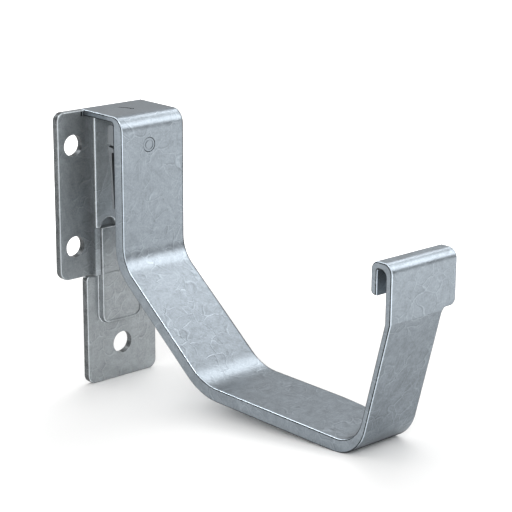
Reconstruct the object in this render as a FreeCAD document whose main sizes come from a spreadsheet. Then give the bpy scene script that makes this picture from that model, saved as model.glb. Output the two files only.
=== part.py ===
# Gutter bracket: a bent flat bar that carries a box gutter, on two sheet plates that go on the wall.
# Frame: millimetres, +Z up. The wall face is Y = 0 and the bracket reaches out along -Y. X = 0 is the bar's
# centre line and Z = 0 the top of its flange, level with the gutter's back edge.
import FreeCAD, Part
import Sketcher
import math
import os
import re

DRIVING_DIMENSIONS = [
    # Bar: the flange at the wall, the leg, the brace and the cradle
    ("strap_width", 30.0),
    ("bar_thickness", 5.2),
    ("flange_reach", 25.8),
    ("flange_thickness", 2.4),
    ("leg_drop", 56.2),
    ("brace_angle", 37.3),
    ("cradle_depth", 91.5),
    ("top_bend_radius", 5.5),
    ("root_radius", 1.0),
    ("brace_bend_radius", 12.7),
    ("cradle_bend_radius", 22.0),
    # Bar: the front arm and the folded hook
    ("hook_reach", 165.0),
    ("hook_thickness", 2.6),
    ("hook_top_drop", 25.5),
    ("hook_plate_height", 20.1),
    ("hook_overhang", 1.4),
    ("slot_width", 4.0),
    ("lip_length", 11.6),
    ("arm_lean", 14.4),
    ("arm_bend_inner_radius", 12.2),
    ("arm_bend_outer_radius", 15.0),
    ("crease_radius", 1.0),
    ("hook_front_radius", 3.6),
    ("hook_back_radius", 3.0),
    ("slot_front_radius", 2.2),
    ("slot_back_radius", 0.8),
    ("lip_radius", 1.6),
    # Bar: the narrow neck on its far side
    ("neck_inset", 4.9),
    ("neck_setback", 13.7),
    ("taper_length", 40.5),
    ("neck_blend_radius", 30.0),
    ("shoulder_height", 19.4),
    ("shoulder_outer_radius", 2.4),
    ("shoulder_inner_radius", 1.8),
    ("bar_edge_radius", 0.6),
    # Punched mark on the flange
    ("mark_width", 0.8),
    ("mark_depth", 0.6),
    ("mark_reach", 7.1),
    ("mark_length", 5.6),
    ("mark_offset", 2.4),
    ("mark_eye_diameter", 1.5),
    # Upper plate
    ("plate_thickness", 2.8),
    ("plate_edge_radius", 0.5),
    ("slide_clearance", 0.1),
    ("wing_width", 15.0),
    ("web_inset", 2.2),
    ("upper_plate_height", 66.1),
    ("wing_top_radius", 3.2),
    ("wing_bottom_radius", 4.0),
    ("web_edge_radius", 0.9),
    ("screw_hole_diameter", 8.4),
    ("screw_hole_inset", 7.2),
    ("upper_hole_drop", 13.2),
    ("hole_spacing", 40.0),
    ("web_height", 44.4),
    ("notch_radius", 3.5),
    ("web_bottom_radius", 0.7),
    ("lobe_recess", 0.9),
    ("relief_width", 1.4),
    ("relief_height", 1.8),
    ("relief_depth", 1.5),
    # Lower plate
    ("foot_width", 34.2),
    ("foot_offset", 1.5),
    ("foot_bottom", 111.4),
    ("foot_radius", 3.6),
    ("shoulder_radius", 1.8),
    ("seam_gap", 0.5),
    ("tongue_height", 28.0),
    ("tongue_radius", 1.5),
    ("rib_height", 2.7),
    ("rib_bottom", 86.8),
    ("rib_corner_radius", 4.0),
    ("rib_edge_radius", 0.5),
    ("rib_top_gap", 0.3),
    ("rim_width", 1.1),
    ("panel_depth", 0.4),
    ("scribe_rise", 0.7),
    ("scribe_width", 0.5),
    ("scribe_depth", 0.3),
    ("foot_hole_diameter", 9.0),
    ("foot_hole_height", 14.4),
    # Spring clip and its rivet
    ("clip_width", 26.0),
    ("clip_top_gap", 1.0),
    ("lug_thickness", 3.4),
    ("lug_height", 10.4),
    ("lug_radius", 2.0),
    ("leaf_length", 21.7),
    ("leaf_thickness", 0.9),
    ("leaf_bow", 1.1),
    ("clip_notch_drop", 7.3),
    ("clip_notch_height", 1.0),
    ("clip_notch_depth", 2.5),
    ("rivet_offset", 2.0),
    ("rivet_drop", 11.5),
    ("rivet_head_diameter", 5.7),
    ("rivet_head_depth", 1.2),
    ("rivet_shank_diameter", 3.2),
    ("rivet_tail_diameter", 4.4),
    ("rivet_tail_depth", 0.8),
    ("rivet_ring_diameter", 3.1),
    ("rivet_ring_width", 0.4),
    ("rivet_edge_chamfer", 0.3),
    ("rivet_clearance", 0.05),
]

COORDINATE_TOLERANCE = 0.01
CUT_MARGIN = 5.0

doc = FreeCAD.newDocument("gutter_bracket")
sheet = doc.addObject("Spreadsheet::Sheet", "Sizes")
for row, (alias, size) in enumerate(DRIVING_DIMENSIONS, start=1):
    sheet.set("A%d" % row, alias)
    sheet.set("B%d" % row, str(size))
    sheet.setAlias("B%d" % row, alias)
doc.recompute()


def expand(formula):
    """A formula in the sheet's aliases, with each alias written as the document refers to it."""
    return re.sub("[a-z_]+", lambda word: ("Sizes." if word[0] in ALIASES else "") + word[0], formula)


def value(formula):
    """The number that a formula in the sheet's aliases comes to."""
    return float(sheet.evalExpression(expand(formula)))


ALIASES = {alias for alias, size in DRIVING_DIMENSIONS}


def new_body(label):
    body = doc.addObject("PartDesign::Body", label)
    body.Label = label
    return body


def new_sketch(body, name, plane, height=None):
    """A sketch on one of the body's own origin planes, moved along the plane's normal by a formula."""
    sketch = body.newObject("Sketcher::SketchObject", name)
    support = [feature for feature in body.Origin.OriginFeatures if feature.Role == plane][0]
    sketch.AttachmentSupport = [(support, "")]
    sketch.MapMode = "FlatFace"
    if height:
        sketch.setExpression("AttachmentOffset.Base.z", expand(height))
    return sketch


def bind(sketch, kind, references, name, formula):
    """One dimension of a sketch, held by a formula."""
    index = sketch.addConstraint(Sketcher.Constraint(kind, *references, value(formula)))
    sketch.renameConstraint(index, name)
    sketch.setExpression("Constraints." + name, expand(formula))


def add_polygon(sketch, corners):
    """A closed outline whose corners are held by formulas for their two coordinates."""
    first = len(sketch.Geometry)
    count = len(corners)
    points = [FreeCAD.Vector(value(across), value(along), 0) for across, along in corners]
    for i in range(count):
        sketch.addGeometry(Part.LineSegment(points[i], points[(i + 1) % count]))
    for i in range(count):
        following = first + (i + 1) % count
        sketch.addConstraint(Sketcher.Constraint("Coincident", first + i, 2, following, 1))
    for i, (across, along) in enumerate(corners):
        bind(sketch, "DistanceX", (-1, 1, first + i, 1), "across_%d" % (first + i), across)
        bind(sketch, "DistanceY", (-1, 1, first + i, 1), "along_%d" % (first + i), along)


def add_rectangle(sketch, left, right, bottom, top):
    add_polygon(sketch, [(left, bottom), (right, bottom), (right, top), (left, top)])


def add_circle(sketch, across, along, diameter):
    index = len(sketch.Geometry)
    centre = FreeCAD.Vector(value(across), value(along), 0)
    sketch.addGeometry(Part.Circle(centre, FreeCAD.Vector(0, 0, 1), value(diameter) / 2))
    bind(sketch, "DistanceX", (-1, 1, index, 3), "across_%d" % index, across)
    bind(sketch, "DistanceY", (-1, 1, index, 3), "along_%d" % index, along)
    bind(sketch, "Diameter", (index,), "diameter_%d" % index, diameter)


def pad(body, sketch, length, other_length=None):
    """Material along the sketch's normal, and behind the sketch too where another length is given."""
    feature = body.newObject("PartDesign::Pad", "pad_" + sketch.Label)
    feature.Profile = sketch
    if other_length:
        feature.SideType = "Two sides"
        feature.setExpression("Length2", expand(other_length))
    feature.setExpression("Length", expand(length))
    doc.recompute()
    return feature


def pocket(body, sketch, length, along_normal=False):
    """A cut against the sketch's normal, or along it. It must take material away."""
    before = body.Shape.Volume
    feature = body.newObject("PartDesign::Pocket", "cut_" + sketch.Label)
    feature.Profile = sketch
    feature.setExpression("Length", expand(length))
    feature.Reversed = along_normal
    doc.recompute()
    if not body.Shape.Volume < before:
        raise RuntimeError("%s takes nothing away" % feature.Label)
    return feature


def corner_edge(shape, plane, point):
    """The name of the edge that stands on a sketch point, square to the sketch's plane."""
    axes = {"YZ_Plane": (1, 2), "XZ_Plane": (0, 2), "XY_Plane": (0, 1)}[plane]
    best = None
    for number, edge in enumerate(shape.Edges, start=1):
        if len(edge.Vertexes) != 2:
            continue
        ends = [vertex.Point for vertex in edge.Vertexes]
        miss = max(math.hypot(end[axes[0]] - point[0], end[axes[1]] - point[1]) for end in ends)
        if best is None or miss < best[0]:
            best = (miss, "Edge%d" % number)
    if best[0] > COORDINATE_TOLERANCE:
        raise RuntimeError("no edge stands at %s" % (point,))
    return best[1]


def round_edges(body, names, radius):
    before = body.Tip
    feature = body.newObject("PartDesign::Fillet", "round_%d" % len(body.Group))
    feature.Base = (before, names)
    feature.setExpression("Radius", expand(radius))
    doc.recompute()
    if "Invalid" in feature.State or feature.Shape.isNull():
        raise RuntimeError("%s cannot be rounded by %s" % (names, radius))
    return feature


def edges_where(shape, wanted):
    """The names of the edges of which both ends and the middle pass a test."""
    names = []
    for number, edge in enumerate(shape.Edges, start=1):
        first, last = edge.ParameterRange
        if all(wanted(edge.valueAt(first + part * (last - first))) for part in (0.0, 0.5, 1.0)):
            names.append("Edge%d" % number)
    return names


def face_normal(face):
    low_u, high_u, low_v, high_v = face.ParameterRange
    return face.normalAt((low_u + high_u) / 2, (low_v + high_v) / 2)


def rim_edges(shape, on_side):
    """The names of the edges around one side of a bar, where that side is made of several faces."""
    uses = {}
    for face in shape.Faces:
        if on_side(face):
            for edge in face.Edges:
                number = [n for n, other in enumerate(shape.Edges, start=1) if other.isSame(edge)][0]
                uses[number] = uses.get(number, 0) + 1
    return ["Edge%d" % number for number, count in sorted(uses.items()) if count == 1]


def round_corner(body, plane, corner, radius):
    """A rounding on the edge that a corner of an outline has become."""
    point = (value(corner[0]), value(corner[1]))
    return round_edges(body, [corner_edge(body.Shape, plane, point)], radius)


# Bar
# Its side view is one closed outline of straight stretches, and each bend is a rounding on a corner of it.
# The bends of the brace and the cradle keep the bar's thickness, so their outer radii follow from the inner.

LEG_FACE = "- flange_reach"
LEG_BACK = "bar_thickness - flange_reach"
CRADLE_FACE = "- cradle_depth"
CRADLE_UNDERSIDE = "- cradle_depth - bar_thickness"
BRACE_FOOT = "- flange_reach - ( cradle_depth - leg_drop ) / tan( brace_angle )"
HOOK_FACE = "- hook_reach"
HOOK_INSIDE = "hook_thickness - hook_reach"
LIP_INSIDE = "hook_thickness + slot_width - hook_reach"
LIP_BACK = "2 * hook_thickness + slot_width - hook_reach"
HOOK_TOP = "- hook_top_drop"
SLOT_TOP = "- hook_top_drop - hook_thickness"
LIP_END = "- hook_top_drop - lip_length"
CREASE_OUTSIDE = "- hook_top_drop - hook_plate_height"
CREASE_INSIDE = CREASE_OUTSIDE + " - hook_thickness * tan( arm_lean / 2 )"
ARM_FOOT_INSIDE = HOOK_INSIDE + " + ( cradle_depth " + CREASE_INSIDE + " ) * tan( arm_lean )"
ARM_FOOT_OUTSIDE = "- hook_reach + ( cradle_depth + bar_thickness " + CREASE_OUTSIDE + " ) * tan( arm_lean )"
BRACE_FOOT_OUTSIDE = BRACE_FOOT + " + bar_thickness * tan( brace_angle / 2 )"
LEG_FOOT_OUTSIDE = "- leg_drop - bar_thickness * tan( ( 90 - brace_angle ) / 2 )"

BAR_OUTLINE = [
    # corner, rounding
    (("0", "0"), None),
    ((LEG_FACE, "0"), "top_bend_radius"),
    ((LEG_FACE, "- leg_drop"), "brace_bend_radius"),
    ((BRACE_FOOT, CRADLE_FACE), "cradle_bend_radius"),
    ((ARM_FOOT_INSIDE, CRADLE_FACE), "arm_bend_inner_radius"),
    ((HOOK_INSIDE, CREASE_INSIDE), "crease_radius"),
    ((HOOK_INSIDE, SLOT_TOP), "slot_front_radius"),
    ((LIP_INSIDE, SLOT_TOP), "slot_back_radius"),
    ((LIP_INSIDE, LIP_END), None),
    ((LIP_BACK, LIP_END), "lip_radius"),
    ((LIP_BACK, HOOK_TOP), "hook_back_radius"),
    ((HOOK_FACE, HOOK_TOP), "hook_front_radius"),
    ((HOOK_FACE, CREASE_OUTSIDE), "crease_radius"),
    ((ARM_FOOT_OUTSIDE, CRADLE_UNDERSIDE), "arm_bend_outer_radius"),
    ((BRACE_FOOT_OUTSIDE, CRADLE_UNDERSIDE), "cradle_bend_radius + bar_thickness"),
    ((LEG_BACK, LEG_FOOT_OUTSIDE), "brace_bend_radius + bar_thickness"),
    ((LEG_BACK, "- flange_thickness"), "root_radius"),
    (("0", "- flange_thickness"), None),
]

NEAR_SIDE = "- strap_width / 2"
FAR_SIDE = "strap_width / 2"
NECK_SIDE = "strap_width / 2 - neck_inset"
HOOK_SIDE = "strap_width / 2 + hook_overhang"
TAPER_END = "neck_setback - hook_reach"
TAPER_START = TAPER_END + " + taper_length"
SHOULDER = "- hook_top_drop - shoulder_height"
RIVET_ACROSS = "- rivet_offset"


def cut_bar_width(body):
    """Takes the pad, which is as wide as the hook, down to the bar's own width behind the hook."""
    sketch = new_sketch(body, "bar_side", "XY_Plane")
    behind_hook = LIP_BACK + " + slot_width"
    add_rectangle(sketch, FAR_SIDE, HOOK_SIDE + " + %s" % CUT_MARGIN, behind_hook, str(CUT_MARGIN))
    pocket(body, sketch, "cradle_depth + bar_thickness + %s" % CUT_MARGIN)


def cut_neck(body):
    """Draws the bar in to the neck with two tangent arcs, on its far side and below the hook's shoulder."""
    sketch = new_sketch(body, "neck_side", "XY_Plane", SHOULDER + " - shoulder_inner_radius")
    both_radii = "( ( taper_length * taper_length + neck_inset * neck_inset ) / ( 2 * neck_inset ) )"
    radius = both_radii + " - neck_blend_radius"
    joint_across = FAR_SIDE + " - ( " + radius + " ) * neck_inset / " + both_radii
    joint_along = TAPER_START + " - ( " + radius + " ) * taper_length / " + both_radii
    start = FreeCAD.Vector(value(FAR_SIDE), value(TAPER_START), 0)
    end = FreeCAD.Vector(value(NECK_SIDE), value(TAPER_END), 0)
    front = FreeCAD.Vector(end.x, value(HOOK_FACE) - CUT_MARGIN, 0)
    outer_front = FreeCAD.Vector(value(HOOK_SIDE) + CUT_MARGIN, front.y, 0)
    outer_start = FreeCAD.Vector(outer_front.x, start.y, 0)
    up = FreeCAD.Vector(0, 0, 1)
    turn = math.asin(value("taper_length / " + both_radii))
    long_arc = Part.Circle(FreeCAD.Vector(start.x - value(radius), start.y, 0), up, value(radius))
    blend_arc = Part.Circle(FreeCAD.Vector(end.x + value("neck_blend_radius"), end.y, 0), up,
                            value("neck_blend_radius"))
    sketch.addGeometry(Part.ArcOfCircle(long_arc, -turn, 0.0))
    sketch.addGeometry(Part.ArcOfCircle(blend_arc, math.pi - turn, math.pi))
    sketch.addGeometry(Part.LineSegment(end, front))
    sketch.addGeometry(Part.LineSegment(front, outer_front))
    sketch.addGeometry(Part.LineSegment(outer_front, outer_start))
    sketch.addGeometry(Part.LineSegment(outer_start, start))
    sketch.addConstraint(Sketcher.Constraint("Coincident", 0, 1, 1, 1))
    sketch.addConstraint(Sketcher.Constraint("Coincident", 1, 2, 2, 1))
    sketch.addConstraint(Sketcher.Constraint("Coincident", 2, 2, 3, 1))
    sketch.addConstraint(Sketcher.Constraint("Coincident", 3, 2, 4, 1))
    sketch.addConstraint(Sketcher.Constraint("Coincident", 4, 2, 5, 1))
    sketch.addConstraint(Sketcher.Constraint("Coincident", 5, 2, 0, 2))
    sketch.addConstraint(Sketcher.Constraint("Vertical", 2))
    sketch.addConstraint(Sketcher.Constraint("Horizontal", 3))
    sketch.addConstraint(Sketcher.Constraint("Vertical", 4))
    sketch.addConstraint(Sketcher.Constraint("Horizontal", 5))
    bind(sketch, "DistanceX", (-1, 1, 5, 2), "start_across", FAR_SIDE)
    bind(sketch, "DistanceY", (-1, 1, 5, 2), "start_along", TAPER_START)
    bind(sketch, "DistanceX", (-1, 1, 1, 1), "joint_across", joint_across)
    bind(sketch, "DistanceY", (-1, 1, 1, 1), "joint_along", joint_along)
    bind(sketch, "DistanceX", (-1, 1, 2, 1), "end_across", NECK_SIDE)
    bind(sketch, "DistanceY", (-1, 1, 2, 1), "end_along", TAPER_END)
    bind(sketch, "DistanceX", (-1, 1, 3, 2), "clear_across", HOOK_SIDE + " + %s" % CUT_MARGIN)
    bind(sketch, "DistanceY", (-1, 1, 3, 2), "clear_along", HOOK_FACE + " - %s" % CUT_MARGIN)
    bind(sketch, "Radius", (0,), "taper_radius", radius)
    bind(sketch, "Radius", (1,), "blend_radius", "neck_blend_radius")
    pocket(body, sketch, "cradle_depth + bar_thickness")


def cut_shoulder(body):
    """Cuts the far side under the hook, so that the hook ends in a shoulder above the neck."""
    sketch = new_sketch(body, "shoulder", "XZ_Plane", "- ( " + LIP_BACK + " )")
    outside = HOOK_SIDE + " + %s" % CUT_MARGIN
    neck_bottom = SHOULDER + " - 2 * shoulder_inner_radius"
    add_rectangle(sketch, NECK_SIDE, outside, neck_bottom, SHOULDER)
    pocket(body, sketch, "2 * hook_thickness + slot_width + %s" % CUT_MARGIN, along_normal=True)
    round_corner(body, "XZ_Plane", (NECK_SIDE, SHOULDER), "shoulder_inner_radius")
    round_corner(body, "XZ_Plane", (HOOK_SIDE, SHOULDER), "shoulder_outer_radius")


def round_long_edges(body):
    """The bar's mill edge, rounded along both its sides but not across the flange's end at the wall."""
    shoulder_level = value(SHOULDER)

    def on_far_side(face):
        normal = face_normal(face)
        centre = face.CenterOfMass
        under_shoulder = abs(centre.z - shoulder_level) < COORDINATE_TOLERANCE
        return centre.x > value(NECK_SIDE) - COORDINATE_TOLERANCE and (normal.x > 0.5 or under_shoulder)

    def on_near_side(face):
        return face_normal(face).x < -0.9

    names = rim_edges(body.Shape, on_near_side) + rim_edges(body.Shape, on_far_side)
    at_wall = edges_where(body.Shape, lambda point: point.y > -COORDINATE_TOLERANCE)
    round_edges(body, [name for name in names if name not in at_wall], "bar_edge_radius")


def cut_mark(body):
    """The short bent punch mark in the flange's top, with a deeper eye at its front end."""
    back = "- mark_reach"
    elbow = "- mark_reach - mark_length / 2"
    front = "- mark_reach - mark_length"
    sketch = new_sketch(body, "mark", "XY_Plane")
    add_polygon(sketch, [
        ("- mark_offset", back),
        ("- mark_offset / 4", elbow),
        ("0", front),
        ("mark_width", front),
        ("mark_width - mark_offset / 4", elbow),
        ("mark_width - mark_offset", back),
    ])
    pocket(body, sketch, "mark_depth")
    eye = new_sketch(body, "mark_eye", "XY_Plane")
    add_circle(eye, "mark_width / 2", front, "mark_eye_diameter")
    pocket(body, eye, "mark_depth + mark_width / 4")


def make_strap():
    body = new_body("strap")
    sketch = new_sketch(body, "side_view", "YZ_Plane")
    add_polygon(sketch, [corner for corner, radius in BAR_OUTLINE])
    pad(body, sketch, HOOK_SIDE, "strap_width / 2")
    for corner, radius in BAR_OUTLINE:
        if radius:
            round_corner(body, "YZ_Plane", corner, radius)
    cut_bar_width(body)
    cut_neck(body)
    cut_shoulder(body)
    round_long_edges(body)
    cut_mark(body)
    head = new_sketch(body, "rivet_head_seat", "XZ_Plane", "flange_reach")
    add_circle(head, RIVET_ACROSS, "- rivet_drop", "rivet_head_diameter + 2 * rivet_clearance")
    pocket(body, head, "rivet_head_depth")
    bore = new_sketch(body, "rivet_bore", "XZ_Plane", "flange_reach")
    add_circle(bore, RIVET_ACROSS, "- rivet_drop", "rivet_shank_diameter + 2 * rivet_clearance")
    pocket(body, bore, "bar_thickness + %s" % COORDINATE_TOLERANCE)
    return body


# Upper plate
# One joggled sheet: the wing lies on the wall, and the web stands one thickness and a clearance forward of it.

WEB_SIDE = "web_inset - strap_width / 2"
WING_SIDE = WEB_SIDE + " - wing_width"
WALL_SIDE = WEB_SIDE + " + plate_thickness"
WING_FACE = "- plate_thickness"
WEB_BACK = "- plate_thickness - slide_clearance"
WEB_FACE = "- 2 * plate_thickness - slide_clearance"
WEB_FACE_REACH = "2 * plate_thickness + slide_clearance"
UPPER_BOTTOM = "- upper_plate_height"
WEB_BOTTOM = "- flange_thickness - web_height"
SCREW_ACROSS = WING_SIDE + " + screw_hole_inset"


def make_upper_plate():
    body = new_body("upper_plate")
    section = new_sketch(body, "plan_section", "XY_Plane")
    add_polygon(section, [
        (WING_SIDE, "0"),
        (WALL_SIDE, "0"),
        (WALL_SIDE, WEB_BACK),
        (FAR_SIDE, WEB_BACK),
        (FAR_SIDE, WEB_FACE),
        (WEB_SIDE, WEB_FACE),
        (WEB_SIDE, WING_FACE),
        (WING_SIDE, WING_FACE),
    ])
    sheet_pad = pad(body, section, "upper_plate_height")
    sheet_pad.Reversed = True
    doc.recompute()
    round_corner(body, "XY_Plane", (WEB_SIDE, WEB_FACE), "web_edge_radius")
    round_corner(body, "XZ_Plane", (WING_SIDE, "0"), "wing_top_radius")
    round_corner(body, "XZ_Plane", (WING_SIDE, UPPER_BOTTOM), "wing_bottom_radius")

    # The flange lies on the web's top edge, so all that is under it stops a flange's thickness lower
    seat = new_sketch(body, "flange_seat", "XZ_Plane", WEB_FACE_REACH + " + %s" % CUT_MARGIN)
    beside_flange = NEAR_SIDE + " - slide_clearance"
    add_rectangle(seat, beside_flange, FAR_SIDE + " + %s" % CUT_MARGIN, "- flange_thickness", str(CUT_MARGIN))
    pocket(body, seat, WEB_FACE_REACH + " + %s" % (2 * CUT_MARGIN))

    # Two slots with a nib between them relieve the corner where the wing meets the flange
    relief = new_sketch(body, "corner_relief", "XZ_Plane", "plate_thickness")
    relief_top = "- ( flange_thickness - relief_height )"
    slot = "relief_width / 3"
    add_rectangle(relief, beside_flange + " - relief_width", beside_flange + " - 2 * " + slot,
                  "- flange_thickness", relief_top)
    add_rectangle(relief, beside_flange + " - " + slot, beside_flange + " + slide_clearance",
                  "- flange_thickness", relief_top)
    pocket(body, relief, "relief_depth")

    # Below the web only the side wall goes on down, and the lower plate's rib shows beside it
    below = new_sketch(body, "below_web", "XZ_Plane", WEB_FACE_REACH)
    add_rectangle(below, WALL_SIDE, FAR_SIDE + " + %s" % CUT_MARGIN, UPPER_BOTTOM + " - %s" % CUT_MARGIN, WEB_BOTTOM)
    pocket(body, below, "plate_thickness + slide_clearance / 2")
    notch = new_sketch(body, "half_round_notch", "XZ_Plane", WEB_FACE_REACH)
    add_circle(notch, WALL_SIDE + " + notch_radius", WEB_BOTTOM, "2 * notch_radius")
    pocket(body, notch, "plate_thickness + slide_clearance / 2")
    lobe = new_sketch(body, "lobe_step", "XZ_Plane", WEB_FACE_REACH)
    add_rectangle(lobe, WEB_SIDE + " - %s" % CUT_MARGIN, WALL_SIDE, UPPER_BOTTOM + " - %s" % CUT_MARGIN, WEB_BOTTOM)
    pocket(body, lobe, "lobe_recess")

    # The press leaves a rounded edge on the side that faces out
    wing_face, web_face = value(WING_FACE), value(WEB_FACE)
    relief_side, web_bottom = value(beside_flange + " - relief_width"), value(WEB_BOTTOM)

    def on_wing_outline(point):
        return abs(point.y - wing_face) < COORDINATE_TOLERANCE and point.x < relief_side + COORDINATE_TOLERANCE

    def on_web_bottom(point):
        low_enough = point.z < web_bottom + value("notch_radius") + COORDINATE_TOLERANCE
        return abs(point.y - web_face) < COORDINATE_TOLERANCE and low_enough

    round_edges(body, edges_where(body.Shape, on_wing_outline), "plate_edge_radius")
    round_edges(body, edges_where(body.Shape, on_web_bottom), "web_bottom_radius")

    holes = new_sketch(body, "screw_holes", "XZ_Plane", WEB_FACE_REACH)
    add_circle(holes, SCREW_ACROSS, "- upper_hole_drop", "screw_hole_diameter")
    add_circle(holes, SCREW_ACROSS, "- upper_hole_drop - hole_spacing", "screw_hole_diameter")
    pocket(body, holes, WEB_FACE_REACH + " + %s" % CUT_MARGIN)
    return body


# Lower plate
# The foot lies on the wall under the upper plate. Its tongue goes up behind the web, and a pressed rib stands
# forward on it, as wide as the tongue, with its hollow open to the wall.

TONGUE_HALF = "- ( " + WALL_SIDE + " ) - 2 * slide_clearance"
TONGUE_LEFT = WALL_SIDE + " + 2 * slide_clearance"
FOOT_LEFT = "foot_offset - foot_width / 2"
FOOT_RIGHT = "foot_offset + foot_width / 2"
FOOT_BOTTOM = "- foot_bottom"
FOOT_TOP = UPPER_BOTTOM + " - seam_gap"
TONGUE_TOP = FOOT_TOP + " + tongue_height"
RIB_TOP = WEB_BOTTOM + " - rib_top_gap"
RIB_BOTTOM = "- rib_bottom"


def make_lower_plate():
    body = new_body("lower_plate")
    outline = new_sketch(body, "front_view", "XZ_Plane")
    corners = [
        (FOOT_LEFT, FOOT_BOTTOM),
        (FOOT_RIGHT, FOOT_BOTTOM),
        (FOOT_RIGHT, FOOT_TOP),
        (TONGUE_HALF, FOOT_TOP),
        (TONGUE_HALF, TONGUE_TOP),
        (TONGUE_LEFT, TONGUE_TOP),
        (TONGUE_LEFT, FOOT_TOP),
        (FOOT_LEFT, FOOT_TOP),
    ]
    add_polygon(outline, corners)
    pad(body, outline, "plate_thickness")
    for number, radius in [(0, "foot_radius"), (1, "foot_radius"), (2, "shoulder_radius"),
                           (7, "shoulder_radius"), (4, "tongue_radius"), (5, "tongue_radius")]:
        round_corner(body, "XZ_Plane", corners[number], radius)

    rib = new_sketch(body, "rib", "XZ_Plane", "plate_thickness")
    add_rectangle(rib, TONGUE_LEFT, TONGUE_HALF, RIB_BOTTOM, RIB_TOP)
    pad(body, rib, "rib_height")

    # The rib's face is a shallow panel inside a narrow rim, with a scribed line level with the seam
    rim = "rim_width"
    panel = new_sketch(body, "panel", "XZ_Plane", "plate_thickness + rib_height")
    panel_left = TONGUE_LEFT + " + " + rim
    panel_right = TONGUE_HALF + " - " + rim
    panel_bottom = RIB_BOTTOM + " + " + rim
    add_rectangle(panel, panel_left, panel_right, panel_bottom, RIB_TOP + " - " + rim)
    pocket(body, panel, "panel_depth")
    for side, panel_side in [(TONGUE_LEFT, panel_left), (TONGUE_HALF, panel_right)]:
        round_corner(body, "XZ_Plane", (panel_side, panel_bottom), "rib_corner_radius - rim_width")
        round_corner(body, "XZ_Plane", (side, RIB_BOTTOM), "rib_corner_radius")
    scribe = new_sketch(body, "scribed_line", "XZ_Plane", "plate_thickness + rib_height")
    scribe_bottom = FOOT_TOP + " + scribe_rise"
    add_rectangle(scribe, panel_left, panel_right, scribe_bottom, scribe_bottom + " + scribe_width")
    pocket(body, scribe, "panel_depth + scribe_depth")

    front, rib_front = value("- plate_thickness"), value("- plate_thickness - rib_height")
    foot_top, tongue_left, tongue_right = value(FOOT_TOP), value(TONGUE_LEFT), value(TONGUE_HALF)
    panel_left_side, panel_right_side = value(panel_left), value(panel_right)

    def on_foot_outline(point):
        on_face = abs(point.y - front) < COORDINATE_TOLERANCE
        beside_tongue = point.x < tongue_left + COORDINATE_TOLERANCE or point.x > tongue_right - COORDINATE_TOLERANCE
        low = point.z < value(RIB_BOTTOM) - COORDINATE_TOLERANCE
        return on_face and point.z < foot_top + COORDINATE_TOLERANCE and (beside_tongue or low)

    def on_rib_outline(point):
        on_face = abs(point.y - rib_front) < COORDINATE_TOLERANCE
        inside = panel_left_side - COORDINATE_TOLERANCE < point.x < panel_right_side + COORDINATE_TOLERANCE
        within_panel = value(panel_bottom) - COORDINATE_TOLERANCE < point.z < value(RIB_TOP) - value(rim) / 2
        return on_face and not (inside and within_panel)

    round_edges(body, edges_where(body.Shape, on_rib_outline), "rib_edge_radius")
    round_edges(body, edges_where(body.Shape, on_foot_outline), "plate_edge_radius")

    wall = "plate_thickness"
    hollow = new_sketch(body, "rib_hollow", "XZ_Plane")
    add_rectangle(hollow, TONGUE_LEFT + " + " + wall, TONGUE_HALF + " - " + wall,
                  RIB_BOTTOM + " + " + wall, RIB_TOP + " - " + wall)
    pocket(body, hollow, "rib_height", along_normal=True)

    hole = new_sketch(body, "foot_hole", "XZ_Plane", "plate_thickness")
    add_circle(hole, "foot_offset", "foot_hole_height - foot_bottom", "foot_hole_diameter")
    pocket(body, hole, "plate_thickness + %s" % CUT_MARGIN)
    return body


# Spring clip
# A lug against the leg's back, and below it a thin leaf that bows off the leg and touches it at its end.

CLIP_TOP = "- flange_thickness - clip_top_gap"
LUG_BACK = LEG_BACK + " + lug_thickness"
LUG_END = CLIP_TOP + " - lug_height"
LEAF_END = LUG_END + " - leaf_length"
CLIP_LEFT = NEAR_SIDE
CLIP_RIGHT = "clip_width / 2 - rivet_offset"


def make_spring_clip():
    body = new_body("spring_clip")
    side = new_sketch(body, "side_view", "YZ_Plane")
    leaf_back = LEG_BACK + " + leaf_bow + leaf_thickness"
    leaf_neck = LUG_END + " - leaf_length / 6"
    add_polygon(side, [
        (LEG_BACK, CLIP_TOP),
        (LUG_BACK, CLIP_TOP),
        (LUG_BACK, LUG_END),
        (leaf_back, leaf_neck),
        (LEG_BACK + " + leaf_thickness", LEAF_END),
        (LEG_BACK, LEAF_END),
        (LEG_BACK, LEAF_END + " + leaf_thickness"),
        (LEG_BACK + " + leaf_bow", leaf_neck),
        (LEG_BACK + " + leaf_bow", LUG_END),
        (LEG_BACK, LUG_END),
    ])
    pad(body, side, CLIP_RIGHT, "strap_width / 2")
    round_corner(body, "YZ_Plane", (LUG_BACK, CLIP_TOP), "lug_radius")

    slit = new_sketch(body, "edge_notch", "YZ_Plane", CLIP_LEFT)
    slit_top = CLIP_TOP + " - clip_notch_drop"
    add_polygon(slit, [
        (LEG_BACK, slit_top + " - clip_notch_height / 2"),
        (LEG_BACK, slit_top + " - 3 * clip_notch_height / 2"),
        (LUG_BACK, slit_top + " - clip_notch_height"),
        (LUG_BACK, slit_top),
    ])
    pocket(body, slit, "clip_notch_depth", along_normal=True)

    bore = new_sketch(body, "rivet_bore", "XZ_Plane", "flange_reach - bar_thickness")
    add_circle(bore, RIVET_ACROSS, "- rivet_drop", "rivet_shank_diameter + 2 * rivet_clearance")
    pocket(body, bore, "lug_thickness + %s" % COORDINATE_TOLERANCE)
    tail = new_sketch(body, "rivet_tail_seat", "XZ_Plane", "- ( " + LUG_BACK + " )")
    add_circle(tail, RIVET_ACROSS, "- rivet_drop", "rivet_tail_diameter + 2 * rivet_clearance")
    pocket(body, tail, "rivet_tail_depth", along_normal=True)
    return body


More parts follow.
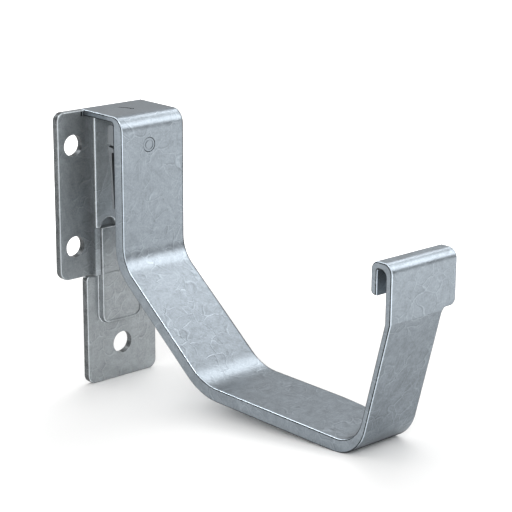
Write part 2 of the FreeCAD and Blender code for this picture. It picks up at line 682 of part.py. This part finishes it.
def make_leg_rivet():
    """A turned rivet on the Y axis of its own frame: flush head, shank, and a tail spread in the clip."""
    body = new_body("leg_rivet")
    half = new_sketch(body, "half_section", "XY_Plane")
    head = "rivet_head_diameter / 2"
    shank = "rivet_shank_diameter / 2"
    tail = "rivet_tail_diameter / 2"
    ring_inner = "rivet_ring_diameter / 2"
    ring_outer = ring_inner + " + rivet_ring_width"
    shoulder = "rivet_head_depth"
    grip = "bar_thickness + lug_thickness - rivet_tail_depth"
    add_polygon(half, [
        ("0", "0"),
        (ring_inner, "0"),
        (ring_inner, "rivet_ring_width / 2"),
        (ring_outer, "rivet_ring_width / 2"),
        (ring_outer, "0"),
        (head + " - rivet_edge_chamfer", "0"),
        (head, "rivet_edge_chamfer"),
        (head, shoulder),
        (shank, shoulder),
        (shank, grip),
        (tail, grip),
        (tail, "bar_thickness + lug_thickness"),
        ("0", "bar_thickness + lug_thickness"),
    ])
    turned = body.newObject("PartDesign::Revolution", "turned_rivet")
    turned.Profile = half
    turned.ReferenceAxis = (half, ["V_Axis"])
    turned.Angle = 360
    doc.recompute()
    body.setExpression("Placement.Base.x", expand(RIVET_ACROSS))
    body.setExpression("Placement.Base.y", expand(LEG_FACE))
    body.setExpression("Placement.Base.z", expand("- rivet_drop"))
    doc.recompute()
    return body


pieces = [make_strap(), make_upper_plate(), make_lower_plate(), make_spring_clip(), make_leg_rivet()]

for thing in doc.Objects:
    if "Invalid" in thing.State or "Error" in thing.State:
        raise RuntimeError("%s failed: %s" % (thing.Label, thing.State))
for piece in pieces:
    if piece.Shape.isNull() or not piece.Shape.isValid() or len(piece.Shape.Solids) != 1:
        raise RuntimeError("%s is not one valid solid" % piece.Label)

os.makedirs("parts", exist_ok=True)
for piece in pieces:
    piece.Shape.exportStep("parts/%s.step" % piece.Label)
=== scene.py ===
import math
import bpy
from mathutils import Matrix, Vector


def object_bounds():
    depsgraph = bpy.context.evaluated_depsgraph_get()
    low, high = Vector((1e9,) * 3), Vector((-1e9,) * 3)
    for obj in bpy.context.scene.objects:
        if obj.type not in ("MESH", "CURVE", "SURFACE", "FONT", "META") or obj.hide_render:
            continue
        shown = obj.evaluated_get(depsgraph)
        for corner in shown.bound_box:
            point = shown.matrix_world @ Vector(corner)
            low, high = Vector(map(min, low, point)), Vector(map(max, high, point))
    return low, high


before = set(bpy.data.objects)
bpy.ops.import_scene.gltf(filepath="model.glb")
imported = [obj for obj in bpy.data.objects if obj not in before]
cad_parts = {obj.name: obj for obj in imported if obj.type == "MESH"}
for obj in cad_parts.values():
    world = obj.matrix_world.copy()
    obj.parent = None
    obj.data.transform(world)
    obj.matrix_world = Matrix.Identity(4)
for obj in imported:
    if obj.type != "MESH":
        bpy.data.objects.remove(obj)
cad_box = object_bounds()

# Camera
# It stands out from the wall on the screw wing's side, a little above the flange, and looks at the bracket
# through a long lens, at the photograph's angle.
CAMERA_PLACE = Vector((-0.39455, -0.52006, 0.12770))
CAMERA_AZIMUTH = math.radians(42.15)
CAMERA_DIP = math.radians(16.18)
CAMERA_ROLL = math.radians(0.39)
SENSOR_WIDTH = 36.0
FOCAL_LENGTH = 119.83
CLIP_START = 0.01

camera_data = bpy.data.cameras.new("camera")
camera_data.sensor_width = SENSOR_WIDTH
camera_data.lens = FOCAL_LENGTH
camera_data.clip_start = CLIP_START
camera = bpy.data.objects.new("camera", camera_data)
bpy.context.scene.collection.objects.link(camera)
camera.matrix_world = (
    Matrix.Translation(CAMERA_PLACE)
    @ Matrix.Rotation(-CAMERA_AZIMUTH, 4, "Z")
    @ Matrix.Rotation(math.pi / 2 - CAMERA_DIP, 4, "X")
    @ Matrix.Rotation(CAMERA_ROLL, 4, "Z")
)
bpy.context.scene.camera = camera
bpy.context.scene.view_settings.view_transform = "Standard"

# Floor
# A sheet of pale paper that the bracket has been stood on, on the lower plate's foot and the front bend, so
# that it rises a little under the bracket and is level in front of it and behind it. Away from the bracket it
# is white to the eye and in the metal, and it keeps the shadow.
PAPER_COLOUR = (0.93, 0.93, 0.925, 1.0)
PAPER_ROUGHNESS = 0.9
PAPER_HALF = 6.0
# As places in y and z, the two lines of the bracket that rest on the paper
FOOT_EDGE = (-0.0028, -0.1114)
BEND_UNDERSIDE = (-0.1380, -0.0968)
RISE_FRONT = -0.20
RISE_BACK = 0.03
# The paper is lifted to white between these distances from a point in front of the bracket
LIFT_CENTRE = (-0.15, -0.05, -0.10)
LIFT_BEGINS = 0.26
LIFT_FULL = 0.38
LIFT = 0.80


def paper_height(y):
    slope = (BEND_UNDERSIDE[1] - FOOT_EDGE[1]) / (BEND_UNDERSIDE[0] - FOOT_EDGE[0])
    return FOOT_EDGE[1] + slope * (y - FOOT_EDGE[0])


def add_node(tree, kind, sources, **settings):
    """A new node. Each source is a socket to link or a value to set, under the input's name or number."""
    node = tree.nodes.new(kind)
    for name, setting in settings.items():
        setattr(node, name, setting)
    for key, source in sources.items():
        if isinstance(source, bpy.types.NodeSocket):
            tree.links.new(source, node.inputs[key])
        else:
            node.inputs[key].default_value = source
    return node


def add_math(tree, operation, *sources):
    return add_node(tree, "ShaderNodeMath", dict(enumerate(sources)), operation=operation).outputs[0]


def add_vector_math(tree, operation, *sources):
    return add_node(tree, "ShaderNodeVectorMath", dict(enumerate(sources)), operation=operation).outputs


def add_grade(tree, source, begins, ends, start=0.0, end=1.0, **settings):
    """A value that goes from start to end while the source goes from begins to ends."""
    sources = {"Value": source, "From Min": begins, "From Max": ends, "To Min": start, "To Max": end}
    return add_node(tree, "ShaderNodeMapRange", sources, **settings).outputs["Result"]


rows = [
    # place in y, and the place in y that has this row's height
    (-PAPER_HALF, RISE_FRONT),
    (RISE_FRONT, RISE_FRONT),
    (RISE_BACK, RISE_BACK),
    (PAPER_HALF, RISE_BACK),
]
paper_points = [(x, y, paper_height(level)) for y, level in rows for x in (-PAPER_HALF, PAPER_HALF)]
paper_faces = [(i, i + 1, i + 3, i + 2) for i in range(0, len(paper_points) - 2, 2)]
floor_mesh = bpy.data.meshes.new("floor")
floor_mesh.from_pydata(paper_points, [], paper_faces)
floor = bpy.data.objects.new("floor", floor_mesh)
bpy.context.scene.collection.objects.link(floor)

paper = bpy.data.materials.new("pale_paper")
paper.use_nodes = True
paper_tree = paper.node_tree
paper_shader = paper_tree.nodes["Principled BSDF"].inputs
paper_shader["Base Color"].default_value = PAPER_COLOUR
paper_shader["Roughness"].default_value = PAPER_ROUGHNESS
paper_shader["Emission Color"].default_value = PAPER_COLOUR
ray = add_node(paper_tree, "ShaderNodeLightPath", {}).outputs
seen = ray["Is Camera Ray"]
for kind in ("Is Glossy Ray", "Is Transmission Ray"):
    seen = add_math(paper_tree, "MAXIMUM", seen, ray[kind])
paper_place = add_node(paper_tree, "ShaderNodeTexCoord", {}).outputs["Object"]
distance = add_vector_math(paper_tree, "DISTANCE", paper_place, LIFT_CENTRE)["Value"]
lift = add_grade(paper_tree, distance, LIFT_BEGINS, LIFT_FULL, 0.0, LIFT)
seen_lift = add_math(paper_tree, "MULTIPLY", seen, lift)
paper_tree.links.new(seen_lift, paper_shader["Emission Strength"])
floor_mesh.materials.append(paper)

# Light
# A pale, even room. Soft boxes that only the metal shows stand in the arc that the leg, the brace and the
# cradle reflect, with two more for the rounded edges. A fill lamp in front on the left and a wide lamp behind
# on the right light the bracket and the paper, and the second throws the shadow forwards.
ROOM = 0.90
# Dark flags draw lines in the metal, one beside each rounded edge and a faint one under each bright bend
FLAGS = [
    # direction from the bracket, how near to it the flag begins and is full, its brightness
    ((-0.83, 0.54, 0.18), 0.90, 0.97, 0.05),
    ((0.645, -0.75, 0.14), 0.95, 0.985, 0.40),
]
SOFT_BOXES = [
    # name, direction from the bracket's middle, distance, width, watts
    ("key_box", (0.645, -0.500, 0.577), 0.7, 0.35, 1.45),
    ("brace_box", (0.645, -0.159, 0.747), 0.7, 0.25, 0.34),
    ("rear_box", (0.645, 0.261, 0.718), 0.7, 0.25, 0.80),
    ("left_edge_box", (-0.653, -0.075, 0.753), 0.7, 0.25, 1.60),
    ("back_edge_box", (-0.278, 0.712, 0.644), 0.7, 0.25, 1.00),
]
LAMPS = [
    # the same values, for the two lamps that the metal doesn't show
    ("fill_lamp", (-0.700, -0.600, 0.450), 1.2, 0.60, 7.5),
    ("back_lamp", (0.620, 0.500, 0.600), 1.2, 0.70, 4.0),
]

world = bpy.data.worlds.new("room")
bpy.context.scene.world = world
world.use_nodes = True
room_tree = world.node_tree
direction = add_node(room_tree, "ShaderNodeTexCoord", {}).outputs["Generated"]
lit = ROOM
for towards, begins, full, brightness in FLAGS:
    nearness = add_vector_math(room_tree, "DOT_PRODUCT", direction, Vector(towards).normalized())["Value"]
    flagged = add_grade(room_tree, nearness, begins, full, ROOM, brightness)
    lit = add_math(room_tree, "MINIMUM", lit, flagged)

# The camera itself sees the room white
room_ray = add_node(room_tree, "ShaderNodeLightPath", {}).outputs
shown_white = add_math(room_tree, "MAXIMUM", room_ray["Is Camera Ray"], lit)
room_tree.links.new(shown_white, room_tree.nodes["Background"].inputs["Color"])

bracket_middle = (cad_box[0] + cad_box[1]) / 2


def hang_box(name, towards, distance, width, watts):
    lamp = bpy.data.lights.new(name, "AREA")
    lamp.size = width
    lamp.energy = watts
    box = bpy.data.objects.new(name, lamp)
    bpy.context.scene.collection.objects.link(box)
    away = Vector(towards).normalized()
    box.location = bracket_middle + away * distance
    box.rotation_euler = (-away).to_track_quat("-Z", "Y").to_euler()
    return box


for soft_box in SOFT_BOXES:
    hang_box(*soft_box).visible_diffuse = False
for lamp_values in LAMPS:
    hang_box(*lamp_values).visible_glossy = False

# Strap
# The flat bar, bent cold and then dipped in hot zinc, which sets in soft overlapping waves with thin raised
# rims and dulls unevenly between them. It carries the gutter from the flange on the upper plate to the folded
# hook. Its rounded edges carry a painted highlight with a line of painted shade beside them, and the
# rims, the far rim and the bar's length carry painted highlight and shade too. The other pieces wear the
# same skin in other strengths.
BAR_TONE = (0.246, 0.278, 0.308)

# The waves. A scale is in cells or spots to the metre, and a rim's width is a share of a cell.
SWAY_SCALE = 90.0
SWAY_DETAIL = 1.0
SWAY_REACH = (0.012, 0.012, 0.012)
NOISE_MIDDLE = (0.5, 0.5, 0.5)
RIM_WIDTH = 0.055
# Each rim is painted lighter as a painted highlight, with painted shade on the side this far off, at this
# share
TO_SHADED_SIDE = (0.0004, 0.0003, -0.0004)
SHADED_SIDE = -0.6
PATCH_SCALE = 100.0
PATCH_DETAIL = 1.0
PATCH_BEGINS = 0.40
PATCH_FULL = 0.58


def add_noise(tree, place, scale, detail, roughness=0.5):
    sources = {"Vector": place, "Scale": scale, "Detail": detail, "Roughness": roughness}
    return add_node(tree, "ShaderNodeTexNoise", sources).outputs


def add_split(tree, vector):
    return add_node(tree, "ShaderNodeSeparateXYZ", {0: vector}).outputs


def add_scaled(tree, colour, scale):
    return add_node(tree, "ShaderNodeVectorMath", {0: colour, "Scale": scale}, operation="SCALE").outputs[0]


def where_all(tree, mask, *others):
    """The product of these masks, which holds where each of them does."""
    for other in others:
        mask = add_math(tree, "MULTIPLY", mask, other)
    return mask


def sway_place(skin, place):
    """The space, bent so that no wave is straight."""
    centred = add_vector_math(skin, "SUBTRACT", add_noise(skin, place, SWAY_SCALE, SWAY_DETAIL)["Color"],
                              NOISE_MIDDLE)[0]
    return add_vector_math(skin, "MULTIPLY_ADD", centred, SWAY_REACH, place)[0]


def raise_rims_with_painted_light(skin, place, swayed, waves):
    """Cell borders as rims with a painted highlight and painted shade on one side, fading here and there."""
    rims = []
    for looked_at in (swayed, add_vector_math(skin, "ADD", swayed, TO_SHADED_SIDE)[0]):
        cells = add_node(skin, "ShaderNodeTexVoronoi", {"Vector": looked_at, "Scale": waves},
                         feature="DISTANCE_TO_EDGE").outputs
        rims.append(add_grade(skin, cells["Distance"], 0.0, RIM_WIDTH, 1.0, 0.0,
                              interpolation_type="SMOOTHSTEP"))
    two_sided = add_math(skin, "MULTIPLY_ADD", rims[1], SHADED_SIDE, rims[0])
    patches = add_noise(skin, place, PATCH_SCALE, PATCH_DETAIL)["Fac"]
    return add_math(skin, "MULTIPLY", two_sided, add_grade(skin, patches, PATCH_BEGINS, PATCH_FULL))


# The rounded edges are told by how far they face sideways: a band of painted highlight and, beside the
# flat side, a line of painted shade, each as its middle and its reach. The band is painted dark where it
# faces down, as painted shade, and on the far side both turn round and are weaker.
PAINTED_HIGHLIGHT_BAND = (0.42, 0.27)
PAINTED_SHADE_LINE = (0.84, 0.145)
LINE_SHARE = -0.55
DOWN_FULL = -0.60
DOWN_BEGINS = -0.45
DOWN_SHARE = -0.40
SIDES_MEET = 0.05
FAR_SIDE_SHARE = -0.4


def paint_edge_highlight_and_shade(skin, facing, sideways, outwards, least_outwards):
    """Painted highlight and shade on the edges. Faces that look less outwards, as in holes, keep none."""
    band = add_math(skin, "COMPARE", sideways, *PAINTED_HIGHLIGHT_BAND)
    upwards = add_grade(skin, facing["Z"], DOWN_FULL, DOWN_BEGINS, DOWN_SHARE, 1.0)
    line = add_math(skin, "COMPARE", sideways, *PAINTED_SHADE_LINE)
    edge = add_math(skin, "MULTIPLY_ADD", line, LINE_SHARE, add_math(skin, "MULTIPLY", band, upwards))
    far_side = add_grade(skin, facing["X"], -SIDES_MEET, SIDES_MEET, 1.0, FAR_SIDE_SHARE)
    no_hole = add_math(skin, "GREATER_THAN", outwards, least_outwards)
    return where_all(skin, edge, far_side, no_hole)


# The broad faces' far rim, short of the hook, is painted darker: painted shade along the far edge
FAR_RIM_BEGINS = 0.0139
FAR_RIM_FULL = 0.0145
FAR_RIM_FRONT = -0.145
BROAD_FACE = 0.75


def paint_far_rim_shade(skin, at, sideways):
    return where_all(
        skin,
        add_grade(skin, at["X"], FAR_RIM_BEGINS, FAR_RIM_FULL),
        add_math(skin, "LESS_THAN", sideways, BROAD_FACE),
        add_math(skin, "GREATER_THAN", at["Y"], FAR_RIM_FRONT),
    )


# The sheared sides that face left get painted shade: on the foot below this height, on the wing left
# of this place, and in the holes of both
FOOT_TOP = -0.088
WING_RIGHT = -0.0150
SHEARED_FACE = 0.15


def find_sheared_sides(skin, facing, at, outwards):
    on_foot = add_math(skin, "LESS_THAN", at["Z"], FOOT_TOP)
    on_wing = add_math(skin, "LESS_THAN", at["X"], WING_RIGHT)
    return where_all(
        skin,
        add_math(skin, "MAXIMUM", on_foot, on_wing),
        add_math(skin, "LESS_THAN", outwards, SHEARED_FACE),
        add_math(skin, "LESS_THAN", facing["X"], 0.0),
    )


# Along the bar. The brace, the arm and the leg are told by how far they face up, and each changes between two
# heights: the brace and the arm get painted shade towards their lower ends, and the leg painted light.
FACE_NEAR = 0.02
FACE_FAR = 0.07
BRACE_FACE = 0.795
BRACE_HEIGHTS = (-0.064, -0.086)
ARM_FACE = -0.249
ARM_HEIGHTS = (-0.050, -0.090)
ARM_BACK = -0.12
ARM_SHARE = 0.7
LEG_FACES = (0.02, 0.35)
LEG_HEIGHTS = (-0.025, -0.055)
LEG_FRONT = -0.04
LEG_FACING_OUT = -0.5
LEG_SHARE = -0.55


def near_face(skin, facing, upwards):
    """Where a face looks up by about this much."""
    off = add_math(skin, "ABSOLUTE", add_math(skin, "SUBTRACT", facing["Z"], upwards))
    return add_grade(skin, off, FACE_NEAR, FACE_FAR, 1.0, 0.0)


def paint_lengthwise_shade(skin, facing, at):
    on_brace = where_all(
        skin,
        near_face(skin, facing, BRACE_FACE),
        add_grade(skin, at["Z"], *BRACE_HEIGHTS),
        add_math(skin, "LESS_THAN", facing["Y"], 0.0),
    )
    on_arm = where_all(
        skin,
        near_face(skin, facing, ARM_FACE),
        add_grade(skin, at["Z"], *ARM_HEIGHTS),
        add_math(skin, "LESS_THAN", at["Y"], ARM_BACK),
    )
    on_leg = where_all(
        skin,
        add_grade(skin, facing["Z"], *LEG_FACES, 1.0, 0.0),
        add_grade(skin, at["Z"], *LEG_HEIGHTS),
        add_math(skin, "GREATER_THAN", at["Y"], LEG_FRONT),
        add_math(skin, "LESS_THAN", facing["Y"], LEG_FACING_OUT),
    )
    painted_shade = add_math(skin, "MULTIPLY_ADD", on_arm, ARM_SHARE, on_brace)
    return add_math(skin, "MULTIPLY_ADD", on_leg, LEG_SHARE, painted_shade)


# The whole skin: soft clouds and finer mottle under the rims, and the clouds' dull places scatter more
CLOUD_SCALE = 260.0
CLOUD_DETAIL = 5.0
CLOUD_ROUGHNESS = 0.75
CLOUD_HEIGHT = 0.35
GRAIN_SCALE = 1400.0
GRAIN_DETAIL = 2.0
GRAIN_SHARE = 0.50
# The rims' painted highlight and shade, as a share of the colour
RIM_SHARE = 0.26
MEAN_LEVEL = 0.75
LEAST_BRIGHTNESS = 0.12
GLOSSY_CLOUD = 0.3
DULL_CLOUD = 0.7
GLOSSY_ROUGHNESS = 0.28
DULL_ROUGHNESS = 0.38
SKIN_STRENGTHS = (
    "Waves", "Contrast", "Edge Gain", "Least Outwards", "Far Rim", "Side Shade", "Length Shade",
)


def make_zinc_skin():
    skin = bpy.data.node_groups.new("zinc_skin", "ShaderNodeTree")
    skin.interface.new_socket("Tone", in_out="INPUT", socket_type="NodeSocketColor")
    for name in SKIN_STRENGTHS:
        skin.interface.new_socket(name, in_out="INPUT", socket_type="NodeSocketFloat")
    skin.interface.new_socket("Colour", in_out="OUTPUT", socket_type="NodeSocketColor")
    for name in ("Roughness", "Height"):
        skin.interface.new_socket(name, in_out="OUTPUT", socket_type="NodeSocketFloat")
    given = add_node(skin, "NodeGroupInput", {}).outputs
    coordinates = add_node(skin, "ShaderNodeTexCoord", {}).outputs
    place = coordinates["Object"]
    at = add_split(skin, place)
    facing = add_split(skin, coordinates["Normal"])
    sideways = add_math(skin, "ABSOLUTE", facing["X"])
    outwards = add_math(skin, "ABSOLUTE", facing["Y"])

    swayed = sway_place(skin, place)
    rims = raise_rims_with_painted_light(skin, place, swayed, given["Waves"])
    clouds = add_noise(skin, swayed, CLOUD_SCALE, CLOUD_DETAIL, CLOUD_ROUGHNESS)["Fac"]
    grain = add_noise(skin, place, GRAIN_SCALE, GRAIN_DETAIL)["Fac"]
    mottle = add_math(skin, "MULTIPLY_ADD", grain, GRAIN_SHARE, clouds)
    tone = add_math(skin, "MULTIPLY_ADD", rims, RIM_SHARE, mottle)
    level = add_math(skin, "SUBTRACT", tone, MEAN_LEVEL)

    brightness = 1.0
    for change, strength in (
        (level, "Contrast"),
        (paint_edge_highlight_and_shade(skin, facing, sideways, outwards, given["Least Outwards"]), "Edge Gain"),
        (paint_far_rim_shade(skin, at, sideways), "Far Rim"),
        (find_sheared_sides(skin, facing, at, outwards), "Side Shade"),
        (paint_lengthwise_shade(skin, facing, at), "Length Shade"),
    ):
        brightness = add_math(skin, "MULTIPLY_ADD", change, given[strength], brightness)
    brightness = add_math(skin, "MAXIMUM", brightness, LEAST_BRIGHTNESS)
    add_node(skin, "NodeGroupOutput", {
        "Colour": add_scaled(skin, given["Tone"], brightness),
        "Roughness": add_grade(skin, clouds, GLOSSY_CLOUD, DULL_CLOUD, GLOSSY_ROUGHNESS, DULL_ROUGHNESS),
        "Height": add_math(skin, "MULTIPLY_ADD", clouds, CLOUD_HEIGHT, rims),
    })
    return skin


# The material. The relief fades where a face turns sideways and away from the middle, so that the bar's
# long edges and the wing are smooth. The outline, where a face turns away from the eye, is painted darker
# as painted shade, and keeps less of a glancing reflection than an open face does.
WAVE_HEIGHT = 0.0001
FLAT_FACE = 0.02
TURNED_FACE = 0.15
RELIEF_FULL = 0.0115
RELIEF_ENDS = 0.0138
EVEN_BLEND = 0.5
OUTLINE_BEGINS = 0.80
OUTLINE_FULL = 0.95
OUTLINE_SHADE = 0.2
OPEN_GLANCE = 0.65
OUTLINE_GLANCE = 0.01


def fade_relief(tree, relief):
    coordinates = add_node(tree, "ShaderNodeTexCoord", {}).outputs
    sideways = add_math(tree, "ABSOLUTE", add_split(tree, coordinates["Normal"])["X"])
    from_middle = add_math(tree, "ABSOLUTE", add_split(tree, coordinates["Object"])["X"])
    flat = add_grade(tree, sideways, FLAT_FACE, TURNED_FACE, relief, 0.0)
    inside = add_grade(tree, from_middle, RELIEF_FULL, RELIEF_ENDS, 1.0, 0.0)
    return add_math(tree, "MULTIPLY", flat, inside)


def make_zinc(name, tone, waves, contrast, relief, metallic, edge_gain=0.0, least_outwards=-1.0,
              far_rim=0.0, side_shade=0.0, length_shade=0.0, recolour=None):
    """Zinc of this tone, in the skin's strengths. A piece may recolour it by a function of its own."""
    zinc = bpy.data.materials.new(name)
    zinc.use_nodes = True
    tree = zinc.node_tree
    metal = tree.nodes["Principled BSDF"].inputs
    metal["Metallic"].default_value = metallic
    skin = add_node(tree, "ShaderNodeGroup", {}, node_tree=zinc_skin)
    skin.inputs["Tone"].default_value = (*tone, 1.0)
    strengths = (waves, contrast, edge_gain, least_outwards, far_rim, side_shade, length_shade)
    for key, strength in zip(SKIN_STRENGTHS, strengths):
        skin.inputs[key].default_value = strength
    colour = skin.outputs["Colour"]
    if recolour:
        colour = recolour(tree, colour)
    turned = add_node(tree, "ShaderNodeLayerWeight", {"Blend": EVEN_BLEND}).outputs["Facing"]
    outline = add_grade(tree, turned, OUTLINE_BEGINS, OUTLINE_FULL, 1.0, OUTLINE_SHADE)
    glance = add_grade(tree, turned, OUTLINE_BEGINS, OUTLINE_FULL, OPEN_GLANCE, OUTLINE_GLANCE)
    ridges = add_node(tree, "ShaderNodeBump", {
        "Strength": fade_relief(tree, relief),
        "Distance": WAVE_HEIGHT,
        "Height": skin.outputs["Height"],
    })
    tree.links.new(add_scaled(tree, colour, outline), metal["Base Color"])
    tree.links.new(skin.outputs["Roughness"], metal["Roughness"])
    tree.links.new(glance, metal["Specular Tint"])
    tree.links.new(ridges.outputs["Normal"], metal["Normal"])
    return zinc


def dress(node, material):
    """A CAD node keeps its shape and takes this material."""
    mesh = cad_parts[node].data
    mesh.materials.clear()
    mesh.materials.append(material)


zinc_skin = make_zinc_skin()
bar_zinc = make_zinc("bar_zinc", BAR_TONE, waves=185.0, contrast=0.95, relief=0.24, metallic=0.85,
                     edge_gain=1.6, far_rim=-0.7, length_shade=-0.22)
dress("strap", bar_zinc)

# Upper plate
# Zinc-coated sheet, bent into a wing for two screws and a raised web under the flange. Its zinc is thinner
# than the bar's. The wing has painted shade beside the web, the web is painted brighter, and a painted
# highlight runs down the web's left edge.
SHEET_TONE = (0.310, 0.337, 0.354)
SHEET_LOOK = {
    "waves": 190.0,
    "contrast": 0.85,
    "relief": 0.25,
    "metallic": 0.70,
    "least_outwards": 0.15,
    "side_shade": -0.7,
}
WING_SHADES = [
    # place across the plate, how bright the painted shade and light make the sheet there
    (-0.0278, 1.00),
    (-0.0190, 0.86),
    (-0.0134, 0.62),
    (-0.0127, 0.66),
    (-0.0122, 1.50),
    (-0.0112, 1.22),
    (0.0150, 1.22),
]


# The wing's painted shade, the web's painted light and the painted highlight at the web's edge, by place
# across the plate
def shade_wing(tree, colour):
    place = add_node(tree, "ShaderNodeTexCoord", {}).outputs["Object"]
    left = WING_SHADES[0][0]
    right = WING_SHADES[-1][0]
    across = add_grade(tree, add_split(tree, place)["X"], left, right)
    shades = add_node(tree, "ShaderNodeValToRGB", {0: across})
    stops = shades.color_ramp.elements
    for x, _ in WING_SHADES[1:-1]:
        stops.new((x - left) / (right - left))
    for stop, (_, brightness) in zip(stops, WING_SHADES):
        stop.color = (brightness, brightness, brightness, 1.0)
    return add_vector_math(tree, "MULTIPLY", colour, shades.outputs["Color"])[0]


dress("upper_plate", make_zinc("sheet_zinc", SHEET_TONE, edge_gain=0.7, recolour=shade_wing, **SHEET_LOOK))

# Lower plate
# The same sheet, a little paler, pressed into a foot with one screw hole and a rib that goes up behind the
# upper plate's web.
FOOT_TONE = (0.335, 0.360, 0.375)
dress("lower_plate", make_zinc("foot_zinc", FOOT_TONE, edge_gain=1.0, **SHEET_LOOK))

# Spring clip
# A thin zinc-plated spring behind the leg, held there by the rivet. Its plating is smoother than dipped zinc
# and shows almost no waves.
PLATED_TONE = (0.19, 0.205, 0.218)
PLATED_LOOK = {"waves": 500.0, "contrast": 0.15, "relief": 0.10, "metallic": 0.85}
dress("spring_clip", make_zinc("plated_spring", PLATED_TONE, **PLATED_LOOK))

# Leg rivet
# The rivet through the leg that holds the clip, set flush in the leg's face. It was dipped with the bar, so
# it has the bar's colour, and it is too small to show waves.
dress("leg_rivet", make_zinc("rivet_zinc", BAR_TONE, **PLATED_LOOK))
